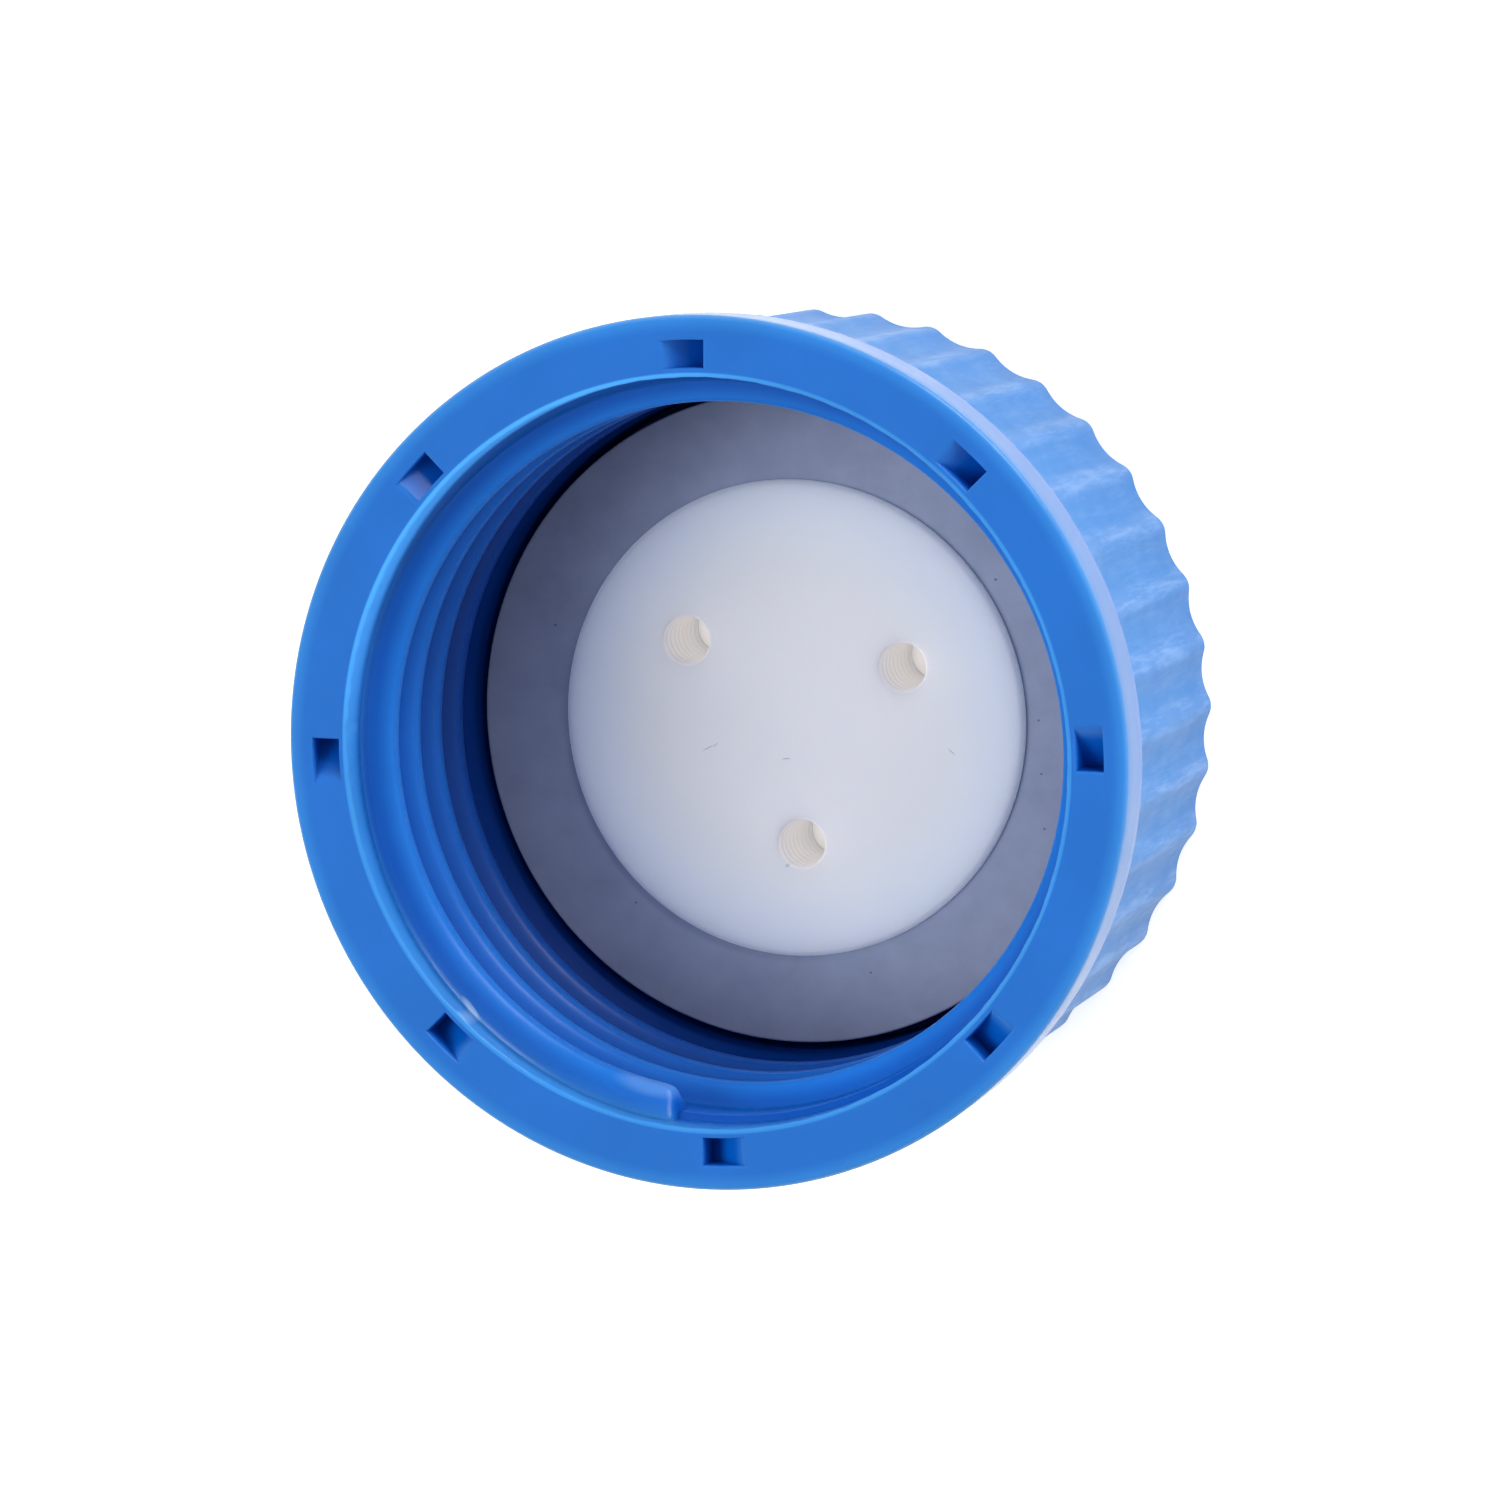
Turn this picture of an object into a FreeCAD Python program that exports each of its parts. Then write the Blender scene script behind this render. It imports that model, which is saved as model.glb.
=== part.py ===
import FreeCAD, Part
import Sketcher
import math
import os

# A three-port safety cap for a 45 mm bottle thread, standing on its head with its mouth upwards.
# Frame: millimetres, +Z out of the open end, origin on the axis at the flat outer face of the head,
# +X through a valley of the outer fluting. Angles go counter-clockwise seen from the open end.
os.makedirs("parts", exist_ok=True)
doc = FreeCAD.newDocument("three_port_safety_cap")

# Sizes
SIZES = [
    ("cap_height", 26.0, "whole cap, along the axis"),
    ("thread_crest_radius", 21.5, "bore over the thread crests, for a 45 mm bottle thread"),
    ("thread_height", 1.5, "crest to root"),
    ("thread_pitch", 4.0, "per turn, right hand"),
    ("thread_turns", 3.5, "turns of the thread"),
    ("thread_crest_width", 1.0, "flat part of the crest"),
    ("thread_flank_width", 0.85, "one flank, measured along the axis"),
    ("thread_sink", 0.45, "how far the thread's profile runs into the wall, past the entry land"),
    ("thread_start_depth", 3.07, "rim to the middle of the thread's first end"),
    ("thread_start_angle", 257.3, "where the thread's squared first end is"),
    ("entry_step", 0.4, "smooth entry land over the thread root"),
    ("entry_depth", 2.7, "length of the entry land"),
    ("step_slope", 0.3, "height of the sloped step under the land"),
    ("rim_width", 3.85, "flat ring at the mouth, mouth edge to outside"),
    ("collar_height", 4.0, "smooth band at the mouth"),
    ("collar_draft", 0.15, "how much smaller the band is at its lower edge"),
    ("wall_at_collar", 3.2, "thread root to flute crest, under the band"),
    ("wall_at_head", 2.45, "thread root to flute crest, at the head"),
    ("flute_count", 40, "grip flutes round the wall"),
    ("flute_depth", 0.45, "flute crest to valley"),
    ("flute_crest_round", 1.3, "radius of a flute crest"),
    ("flute_crest_lift", 0.02, "crest circle past the wall, which leaves a narrow plain strip"),
    ("flute_cut_reach", 0.9, "open side of the flute's outline past the wall"),
    ("head_thickness", 2.2, "head ring that carries the insert"),
    ("head_opening_radius", 17.0, "hole in the head"),
    ("seat_depth", 4.0, "plain bore round the flange, above the head"),
    ("seat_slope", 1.2, "height of the cone from that bore to the thread root"),
    ("seat_clearance", 0.55, "radial gap between the flange and its bore"),
    ("pass_clearance", 0.65, "radial gap between the flange and the thread crests"),
    ("pocket_count", 8, "ratchet pockets in the rim"),
    ("pocket_lip", 0.46, "wall between the mouth and a pocket"),
    ("pocket_width", 1.94, "along the radius"),
    ("pocket_length", 2.85, "steep wall to the end of the ramp"),
    ("pocket_depth", 2.1, "at the steep wall"),
    ("pocket_angle", 38.0, "where the first pocket's steep wall is"),
    ("swivel_clearance", 0.1, "radial running gap between the insert's neck and the head"),
    ("neck_recess", 0.3, "neck end under the head's face"),
    ("flange_thickness", 2.8, "insert flange"),
    ("seal_thickness", 2.1, "flat seal on the flange"),
    ("seal_clearance", 0.12, "radial gap between the seal and the boss"),
    ("boss_radius", 15.25, "raised disc inside the seal"),
    ("boss_height", 0.45, "boss over the seal"),
    ("port_radius", 1.6, "bore of each port"),
    ("port_1_distance", 8.6, "from the axis"),
    ("port_1_angle", 139.7, "port 1"),
    ("port_2_distance", 8.05, "from the axis"),
    ("port_2_angle", 19.7, "port 2"),
    ("port_3_distance", 8.0, "from the axis"),
    ("port_3_angle", 267.2, "port 3"),
]
sheet = doc.addObject("Spreadsheet::Sheet", "sizes")
for row, (alias, value, meaning) in enumerate(SIZES, start=1):
    sheet.set("A%d" % row, alias)
    sheet.set("B%d" % row, str(value))
    sheet.set("C%d" % row, meaning)
    sheet.setAlias("B%d" % row, alias)
doc.recompute()

# Radii and levels that several pieces share, each from the sizes above
ROOT_RADIUS = "(sizes.thread_crest_radius + sizes.thread_height)"
ENTRY_RADIUS = "(%s + sizes.entry_step)" % ROOT_RADIUS
RIM_RADIUS = "(%s + sizes.rim_width)" % ENTRY_RADIUS
HEAD_WALL_RADIUS = "(%s + sizes.wall_at_head)" % ROOT_RADIUS
COLLAR_WALL_RADIUS = "(%s + sizes.wall_at_collar)" % ROOT_RADIUS
FLANGE_RADIUS = "(sizes.thread_crest_radius - sizes.pass_clearance)"
SEAT_RADIUS = "(%s + sizes.seat_clearance)" % FLANGE_RADIUS
POCKET_RADIUS = "(%s + sizes.pocket_lip)" % ENTRY_RADIUS
COLLAR_LEVEL = "(sizes.cap_height - sizes.collar_height)"
SEAT_LEVEL = "(sizes.head_thickness + sizes.seat_depth)"
FLANGE_TOP = "(sizes.head_thickness + sizes.flange_thickness)"
SEAL_TOP = "(%s + sizes.seal_thickness)" % FLANGE_TOP
BOSS_TOP = "(%s + sizes.boss_height)" % SEAL_TOP

# Where the corners of a new outline start
START_CENTRE = FreeCAD.Vector(20, 15, 0)
START_RADIUS = 5.0


def new_body(name):
    body = doc.addObject("PartDesign::Body", name)
    body.Label = name
    body.Placement = FreeCAD.Placement()
    return body


def new_sketch(body, name, role):
    """A sketch on one of the body's own origin planes."""
    plane = [item for item in body.Origin.OriginFeatures if item.Role == role][0]
    sketch = body.newObject("Sketcher::SketchObject", name)
    sketch.AttachmentSupport = [(plane, "")]
    sketch.MapMode = "FlatFace"
    return sketch


def bind(sketch, kind, references, value, expression):
    """A dimension of a sketch that follows the sheet."""
    number = sketch.addConstraint(Sketcher.Constraint(kind, *references, value))
    sketch.setExpression("Constraints[%d]" % number, expression)


def place_point(sketch, geometry, end, start_value, across, along):
    """Fix one end of a line or arc at two sizes; "0" puts it on an axis."""
    for kind, axis, value, expression in (
        ("DistanceX", -2, start_value.x, across),
        ("DistanceY", -1, start_value.y, along),
    ):
        if expression == "0":
            sketch.addConstraint(Sketcher.Constraint("PointOnObject", geometry, end, axis))
        else:
            bind(sketch, kind, (-1, 1, geometry, end), value, expression)


def outline(sketch, corners):
    """A closed outline of straight lines, each corner given as (across, along)."""
    count = len(corners)
    # the solver moves these start points, on a circle, to the bound sizes
    points = []
    for number in range(count):
        turn = 2.0 * math.pi * number / count
        points.append(START_CENTRE - FreeCAD.Vector(math.cos(turn), math.sin(turn), 0) * START_RADIUS)
    for number in range(count):
        sketch.addGeometry(Part.LineSegment(points[number], points[(number + 1) % count]), False)
    for number in range(count):
        following = (number + 1) % count
        sketch.addConstraint(Sketcher.Constraint("Coincident", number, 2, following, 1))
    for number, (across, along) in enumerate(corners):
        place_point(sketch, number, 1, points[number], across, along)


def revolve(body, sketch, name):
    feature = body.newObject("PartDesign::Revolution", name)
    feature.Profile = sketch
    feature.ReferenceAxis = (sketch, ["V_Axis"])
    feature.Angle = 360.0
    body.Tip = feature
    doc.recompute()
    return feature


def polar_copies(body, feature, name, count_expression):
    """Equal copies of a feature round the axis of the cap."""
    axis = [item for item in body.Origin.OriginFeatures if item.Role == "Z_Axis"][0]
    pattern = body.newObject("PartDesign::PolarPattern", name)
    pattern.Originals = [feature]
    pattern.Axis = (axis, [""])
    pattern.Angle = 360.0
    pattern.setExpression("Occurrences", count_expression)
    body.Tip = pattern
    doc.recompute()
    return pattern


def cut_check(body, before, name):
    if body.Shape.Volume > before - 0.01:
        raise ValueError(name + " cuts nothing")


# The same radius and level as numbers, for drawing the flute near its place
head_wall_radius = sheet.thread_crest_radius + sheet.thread_height + sheet.wall_at_head
collar_level = sheet.cap_height - sheet.collar_height

# Screw ring: moulded ring with a head, a fluted wall, a smooth band, a thread and ratchet pockets
ring = new_body("screw_ring")
wall_sketch = new_sketch(ring, "wall_outline", "XZ_Plane")
outline(wall_sketch, [
    ("sizes.head_opening_radius", "0"),
    (HEAD_WALL_RADIUS, "0"),
    (COLLAR_WALL_RADIUS, COLLAR_LEVEL),
    (RIM_RADIUS + " - sizes.collar_draft", COLLAR_LEVEL),
    (RIM_RADIUS, "sizes.cap_height"),
    (ENTRY_RADIUS, "sizes.cap_height"),
    (ENTRY_RADIUS, "sizes.cap_height - sizes.entry_depth"),
    (ROOT_RADIUS, "sizes.cap_height - sizes.entry_depth - sizes.step_slope"),
    (ROOT_RADIUS, SEAT_LEVEL + " + sizes.seat_slope"),
    (SEAT_RADIUS, SEAT_LEVEL),
    (SEAT_RADIUS, "sizes.head_thickness"),
    ("sizes.head_opening_radius", "sizes.head_thickness"),
])
wall = revolve(ring, wall_sketch, "wall")

# One valley between two rounded crests, cut along the slope of the wall and copied round it.
# Its outline lies square to that slope, so that across sizes shrink by the cosine of the lean.
LEAN = "atan((sizes.wall_at_collar - sizes.wall_at_head) / %s)" % COLLAR_LEVEL
lean = math.atan((sheet.wall_at_collar - sheet.wall_at_head) / collar_level)
flute_sketch = new_sketch(ring, "flute_outline", "XY_Plane")
flute_turn = FreeCAD.Rotation(FreeCAD.Vector(0, 1, 0), math.degrees(lean))
flute_sketch.AttachmentOffset = FreeCAD.Placement(FreeCAD.Vector(), flute_turn)
flute_sketch.setExpression("AttachmentOffset.Rotation.Angle", LEAN)
half_angle = math.radians(180.0 / sheet.flute_count)
crest_radius = head_wall_radius + sheet.flute_crest_lift
centre_radius = crest_radius - sheet.flute_crest_round
crest_centre = FreeCAD.Vector(centre_radius * math.cos(half_angle) * math.cos(lean),
                              centre_radius * math.sin(half_angle), 0)
crest_end = FreeCAD.Vector(crest_radius * math.cos(half_angle) * math.cos(lean),
                           crest_radius * math.sin(half_angle), 0)
valley_x = (head_wall_radius - sheet.flute_depth) * math.cos(lean)
offset = valley_x - crest_centre.x
valley_round = ((offset ** 2 + crest_centre.y ** 2 - sheet.flute_crest_round ** 2)
                / (2.0 * (sheet.flute_crest_round - offset)))
valley_centre = FreeCAD.Vector(valley_x + valley_round, 0, 0)
join_angle = math.atan2(crest_centre.y, valley_centre.x - crest_centre.x)
outer_x = (head_wall_radius + sheet.flute_cut_reach) * math.cos(lean)


def arc(centre, radius, start, end):
    circle = Part.Circle(centre, FreeCAD.Vector(0, 0, 1), radius)
    return Part.ArcOfCircle(circle, start, end)


low_centre = FreeCAD.Vector(crest_centre.x, -crest_centre.y, 0)
low_end = FreeCAD.Vector(crest_end.x, -crest_end.y, 0)
# 0 valley, 1 upper crest, 2 lower crest, 3 to 5 the open side outside the wall
flute_sketch.addGeometry(arc(valley_centre, valley_round, math.pi - join_angle, math.pi + join_angle), False)
flute_sketch.addGeometry(arc(crest_centre, sheet.flute_crest_round, -join_angle, half_angle), False)
flute_sketch.addGeometry(arc(low_centre, sheet.flute_crest_round, -half_angle, join_angle), False)
flute_sketch.addGeometry(Part.LineSegment(crest_end, FreeCAD.Vector(outer_x, crest_end.y, 0)), False)
flute_sketch.addGeometry(Part.LineSegment(FreeCAD.Vector(outer_x, crest_end.y, 0),
                                          FreeCAD.Vector(outer_x, low_end.y, 0)), False)
flute_sketch.addGeometry(Part.LineSegment(FreeCAD.Vector(outer_x, low_end.y, 0), low_end), False)
flute_sketch.addGeometry(Part.Point(FreeCAD.Vector(valley_x, 0, 0)), True)
for first, first_end, second, second_end in ((0, 1, 1, 1), (0, 2, 2, 2)):
    flute_sketch.addConstraint(Sketcher.Constraint("Tangent", first, first_end, second, second_end))
for first, first_end, second, second_end in ((1, 2, 3, 1), (3, 2, 4, 1), (4, 2, 5, 1), (5, 2, 2, 1)):
    flute_sketch.addConstraint(Sketcher.Constraint("Coincident", first, first_end, second, second_end))
flute_sketch.addConstraint(Sketcher.Constraint("PointOnObject", 6, 1, -1))
flute_sketch.addConstraint(Sketcher.Constraint("PointOnObject", 6, 1, 0))
for line in (3, 5):
    flute_sketch.addConstraint(Sketcher.Constraint("Horizontal", line))
flute_sketch.addConstraint(Sketcher.Constraint("Vertical", 4))
bind(flute_sketch, "DistanceX", (-1, 1, 6, 1), valley_x,
     "(%s - sizes.flute_depth) * cos(%s)" % (HEAD_WALL_RADIUS, LEAN))
bind(flute_sketch, "DistanceX", (-1, 1, 3, 2), outer_x,
     "(%s + sizes.flute_cut_reach) * cos(%s)" % (HEAD_WALL_RADIUS, LEAN))
HALF_ANGLE = "(180 / sizes.flute_count * 1 deg)"
CREST_RADIUS = "(%s + sizes.flute_crest_lift)" % HEAD_WALL_RADIUS
CREST_CENTRE_RADIUS = "(%s - sizes.flute_crest_round)" % CREST_RADIUS
for crest, sign in ((1, ""), (2, "-")):
    centre_y = crest_centre.y if crest == 1 else low_centre.y
    bind(flute_sketch, "Radius", (crest,), sheet.flute_crest_round, "sizes.flute_crest_round")
    bind(flute_sketch, "DistanceX", (-1, 1, crest, 3), crest_centre.x,
         "%s * cos%s * cos(%s)" % (CREST_CENTRE_RADIUS, HALF_ANGLE, LEAN))
    bind(flute_sketch, "DistanceY", (-1, 1, crest, 3), centre_y,
         "%s%s * sin%s" % (sign, CREST_CENTRE_RADIUS, HALF_ANGLE))
bind(flute_sketch, "DistanceY", (-1, 1, 1, 2), crest_end.y, "%s * sin%s" % (CREST_RADIUS, HALF_ANGLE))
bind(flute_sketch, "DistanceY", (-1, 1, 2, 1), low_end.y, "-%s * sin%s" % (CREST_RADIUS, HALF_ANGLE))
doc.recompute()

band_foot = []
for number, face in enumerate(wall.Shape.Faces, start=1):
    level = isinstance(face.Surface, Part.Plane) and abs(face.CenterOfMass.z - collar_level) < 0.001
    if level:
        band_foot.append("Face%d" % number)
if len(band_foot) != 1:
    raise ValueError("the band has no foot")
before_flutes = ring.Shape.Volume
flute = ring.newObject("PartDesign::Pocket", "flute")
flute.Profile = flute_sketch
flute.Reversed = True
flute.Type = "UpToFace"
flute.UpToFace = (wall, band_foot)
ring.Tip = flute
doc.recompute()
cut_check(ring, before_flutes, "flute")
flutes = polar_copies(ring, flute, "flutes", "sizes.flute_count")
cut_check(ring, before_flutes, "flutes")

# The thread: one trapezoid, its base sunk in the wall, carried up a helix to the squared end at the mouth
thread_sketch = new_sketch(ring, "thread_outline", "XZ_Plane")
thread_turn = FreeCAD.Rotation(FreeCAD.Vector(0, 1, 0), sheet.thread_start_angle)
thread_sketch.AttachmentOffset = FreeCAD.Placement(FreeCAD.Vector(), thread_turn)
thread_sketch.setExpression("AttachmentOffset.Rotation.Angle",
                            "sizes.thread_start_angle - 360 * sizes.thread_turns")
LOW_END = "(sizes.cap_height - sizes.thread_start_depth - sizes.thread_turns * sizes.thread_pitch)"
HALF_CREST = "sizes.thread_crest_width / 2"
FLANK = "sizes.thread_flank_width * (1 + sizes.thread_sink / sizes.thread_height)"
BASE_RADIUS = "(%s + sizes.thread_sink)" % ROOT_RADIUS
outline(thread_sketch, [
    ("sizes.thread_crest_radius", "%s - %s" % (LOW_END, HALF_CREST)),
    (BASE_RADIUS, "%s - %s - %s" % (LOW_END, HALF_CREST, FLANK)),
    (BASE_RADIUS, "%s + %s + %s" % (LOW_END, HALF_CREST, FLANK)),
    ("sizes.thread_crest_radius", "%s + %s" % (LOW_END, HALF_CREST)),
])
doc.recompute()
thread = ring.newObject("PartDesign::AdditiveHelix", "thread")
thread.Profile = thread_sketch
thread.ReferenceAxis = (thread_sketch, ["V_Axis"])
thread.Mode = 0
thread.LeftHanded = False
thread.setExpression("Pitch", "sizes.thread_pitch")
thread.setExpression("Height", "sizes.thread_turns * sizes.thread_pitch")
ring.Tip = thread
doc.recompute()

# Ratchet pockets in the rim: a steep wall, then a ramp up to the face, going counter-clockwise
pocket_sketch = new_sketch(ring, "pocket_outline", "YZ_Plane")
pocket_turn = FreeCAD.Rotation(FreeCAD.Vector(0, 1, 0), sheet.pocket_angle)
pocket_sketch.AttachmentOffset = FreeCAD.Placement(FreeCAD.Vector(), pocket_turn)
pocket_sketch.setExpression("AttachmentOffset.Rotation.Angle", "sizes.pocket_angle")
pocket_sketch.setExpression("AttachmentOffset.Base.x", "%s * sin(sizes.pocket_angle * 1 deg)" % POCKET_RADIUS)
pocket_sketch.setExpression("AttachmentOffset.Base.z", "%s * cos(sizes.pocket_angle * 1 deg)" % POCKET_RADIUS)
outline(pocket_sketch, [
    ("0", "sizes.cap_height"),
    ("0", "sizes.cap_height - sizes.pocket_depth"),
    ("sizes.pocket_length", "sizes.cap_height"),
])
before_pockets = ring.Shape.Volume
pocket = ring.newObject("PartDesign::Pocket", "pocket")
pocket.Profile = pocket_sketch
pocket.Reversed = True
pocket.setExpression("Length", "sizes.pocket_width")
ring.Tip = pocket
doc.recompute()
cut_check(ring, before_pockets, "pocket")
pockets = polar_copies(ring, pocket, "pockets", "sizes.pocket_count")

# Port insert: turned disc with a neck in the head's opening, a flange on the head and a raised boss
insert = new_body("port_insert")
insert_sketch = new_sketch(insert, "insert_outline", "XZ_Plane")
outline(insert_sketch, [
    ("0", "sizes.neck_recess"),
    ("sizes.head_opening_radius - sizes.swivel_clearance", "sizes.neck_recess"),
    ("sizes.head_opening_radius - sizes.swivel_clearance", "sizes.head_thickness"),
    (FLANGE_RADIUS, "sizes.head_thickness"),
    (FLANGE_RADIUS, FLANGE_TOP),
    ("sizes.boss_radius", FLANGE_TOP),
    ("sizes.boss_radius", BOSS_TOP),
    ("0", BOSS_TOP),
])
turned = revolve(insert, insert_sketch, "turned_disc")

# Three ports right through the insert
PORTS = ("port_1", "port_2", "port_3")
for port in PORTS:
    turn = math.radians(getattr(sheet, port + "_angle"))
    start_x = getattr(sheet, port + "_distance") * math.cos(turn)
    start_y = getattr(sheet, port + "_distance") * math.sin(turn)
    port_sketch = new_sketch(insert, port + "_outline", "XY_Plane")
    mouth = Part.Circle(FreeCAD.Vector(start_x, start_y, 0), FreeCAD.Vector(0, 0, 1), sheet.port_radius)
    port_sketch.addGeometry(mouth, False)
    bind(port_sketch, "Radius", (0,), sheet.port_radius, "sizes.port_radius")
    bind(port_sketch, "DistanceX", (-1, 1, 0, 3), start_x,
         "sizes.%s_distance * cos(sizes.%s_angle * 1 deg)" % (port, port))
    bind(port_sketch, "DistanceY", (-1, 1, 0, 3), start_y,
         "sizes.%s_distance * sin(sizes.%s_angle * 1 deg)" % (port, port))
    before_port = insert.Shape.Volume
    bore = insert.newObject("PartDesign::Pocket", port)
    bore.Profile = port_sketch
    bore.Reversed = True
    bore.Type = "ThroughAll"
    insert.Tip = bore
    doc.recompute()
    cut_check(insert, before_port, port)

# Seal: flat soft ring on the flange, round the boss
seal = new_body("seal_ring")
seal_sketch = new_sketch(seal, "seal_outline", "XZ_Plane")
outline(seal_sketch, [
    ("sizes.boss_radius + sizes.seal_clearance", FLANGE_TOP),
    (FLANGE_RADIUS, FLANGE_TOP),
    (FLANGE_RADIUS, SEAL_TOP),
    ("sizes.boss_radius + sizes.seal_clearance", SEAL_TOP),
])
flat_ring = revolve(seal, seal_sketch, "flat_ring")

# Check everything, then write one file for each piece
doc.recompute()
for item in doc.Objects:
    if "Invalid" in item.State or "Error" in item.State:
        raise ValueError(item.Name + " failed")
for sketch in doc.findObjects("Sketcher::SketchObject"):
    if not sketch.FullyConstrained:
        raise ValueError(sketch.Name + " is loose")
for body in (ring, insert, seal):
    shape = body.Shape
    if shape.isNull() or not shape.isValid() or len(shape.Solids) != 1:
        raise ValueError(body.Label + " is not one sound solid")
    shape.exportStep("parts/%s.step" % body.Label)
    print(body.Label, "%.1f mm3, %d faces" % (shape.Volume, len(shape.Faces)))
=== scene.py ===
# %% The frame
import math

import bmesh
import bpy
import numpy as np
from mathutils import Matrix, Vector


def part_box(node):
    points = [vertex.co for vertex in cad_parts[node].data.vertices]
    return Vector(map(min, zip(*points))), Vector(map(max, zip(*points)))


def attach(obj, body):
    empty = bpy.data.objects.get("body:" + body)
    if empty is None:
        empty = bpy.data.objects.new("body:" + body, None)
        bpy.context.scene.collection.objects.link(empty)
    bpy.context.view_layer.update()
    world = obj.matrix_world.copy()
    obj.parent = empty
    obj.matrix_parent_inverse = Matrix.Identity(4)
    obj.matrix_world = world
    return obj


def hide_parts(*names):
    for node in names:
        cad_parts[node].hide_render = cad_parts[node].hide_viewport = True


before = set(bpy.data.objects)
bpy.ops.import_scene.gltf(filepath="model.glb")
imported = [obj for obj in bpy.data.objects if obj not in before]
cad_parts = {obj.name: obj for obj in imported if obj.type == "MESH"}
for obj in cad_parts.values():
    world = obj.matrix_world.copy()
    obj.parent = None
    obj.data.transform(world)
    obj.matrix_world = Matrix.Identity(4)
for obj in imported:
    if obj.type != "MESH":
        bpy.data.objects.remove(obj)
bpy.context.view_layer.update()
MM = 0.001

# %% [markdown]
# # A screw cap with three ports
# The cap stands on its head, so that we look down into its open end. Three pieces make it up: a blue
# moulded ring with a screw thread, a white turned disc with three ports, and a soft grey ring that
# seals it against the bottle. The plain solids that we load already have the right size and place.
# We could bevel their edges, but their facets would still show. So we build a finer mesh over each
# of them, with rounded edges, and then give each one its material.

# %% Measures from the solids
ring_low, ring_high = (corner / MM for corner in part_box("screw_ring"))
insert_low, insert_high = (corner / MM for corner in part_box("port_insert"))
seal_low, seal_high = (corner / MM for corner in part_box("seal_ring"))
CAP_HEIGHT = ring_high.z
RIM_RADIUS = (ring_high.x - ring_low.x) / 2
FLANGE_RADIUS = (seal_high.x - seal_low.x) / 2
CREST_RADIUS = 21.5
ROOT_RADIUS = 23.0
ENTRY_RADIUS = 23.4
print("cap height", round(CAP_HEIGHT, 2), "rim radius", round(RIM_RADIUS, 2), "flange", round(FLANGE_RADIUS, 2))

# %% [markdown]
# ## The camera
# The photograph looks into the mouth from a little beyond the wall, about twenty degrees off the
# axis, through a long lens. We could turn a camera by hand until the picture looks right. Here we
# name the point that it aims at, the direction that it looks from, and the angle at which the cap's
# axis leans in the picture, because such values can be worked out from the photograph's ellipses.

# %% Camera
AIM = Vector((3.1012, 0.0845, 26.0)) * MM
DISTANCE = 616.137 * MM
ELEVATION = math.radians(70.5725)
AZIMUTH = math.radians(16.475)
AXIS_LEAN = math.radians(112.004)
LENS = 240.0
back = Vector((math.cos(ELEVATION) * math.cos(AZIMUTH), math.cos(ELEVATION) * math.sin(AZIMUTH),
               math.sin(ELEVATION)))
rise = (Vector((0, 0, 1)) - back * back.z).normalized()
side = back.cross(rise)
up = rise * math.cos(AXIS_LEAN) - side * math.sin(AXIS_LEAN)
right = up.cross(back)
camera_data = bpy.data.cameras.new("camera")
camera_data.lens = LENS
camera_data.sensor_width = 36.0
camera_data.clip_end = 10.0
camera = bpy.data.objects.new("camera", camera_data)
facing = Matrix((right, up, back)).transposed().to_4x4()
camera.matrix_world = Matrix.Translation(AIM + back * DISTANCE) @ facing
bpy.context.scene.collection.objects.link(camera)
bpy.context.scene.camera = camera
print("camera at", [round(value / MM, 1) for value in camera.matrix_world.translation])

# %% [markdown]
# ## Materials as trees of nodes
# Every material here is a tree of nodes, and so is the world. Such a tree could be drawn in the node
# editor, but in code it is short to read and easy to repeat. One helper adds a node and fills or
# links its inputs, and another does one step of arithmetic. A third tells the rays that see a
# surface from the rays that only carry its light.

# %% Helpers for node materials
def new_material(name):
    """An empty node material, and its tree."""
    material = bpy.data.materials.new(name)
    material.use_nodes = True
    material.node_tree.nodes.clear()
    return material, material.node_tree


def node(tree, kind, inputs=None, **settings):
    """A new node; inputs sets sockets by name or number, to a value or to another node's output."""
    made = tree.nodes.new(kind)
    for key, value in settings.items():
        setattr(made, key, value)
    for key, value in (inputs or {}).items():
        if isinstance(value, bpy.types.NodeSocket):
            tree.links.new(value, made.inputs[key])
        else:
            made.inputs[key].default_value = value
    return made


def math_node(tree, operation, first, second=0.0, third=0.5):
    """One step of arithmetic; third is what MULTIPLY_ADD adds."""
    return node(tree, "ShaderNodeMath", {0: first, 1: second, 2: third}, operation=operation).outputs[0]


def seen_rays(tree):
    """1 for camera, glossy and transmission rays, 0 for the rays that carry light."""
    path = node(tree, "ShaderNodeLightPath")
    seen = math_node(tree, "MAXIMUM", path.outputs["Is Camera Ray"], path.outputs["Is Glossy Ray"])
    return math_node(tree, "MAXIMUM", seen, path.outputs["Is Transmission Ray"])


print("node helpers are ready")
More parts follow.
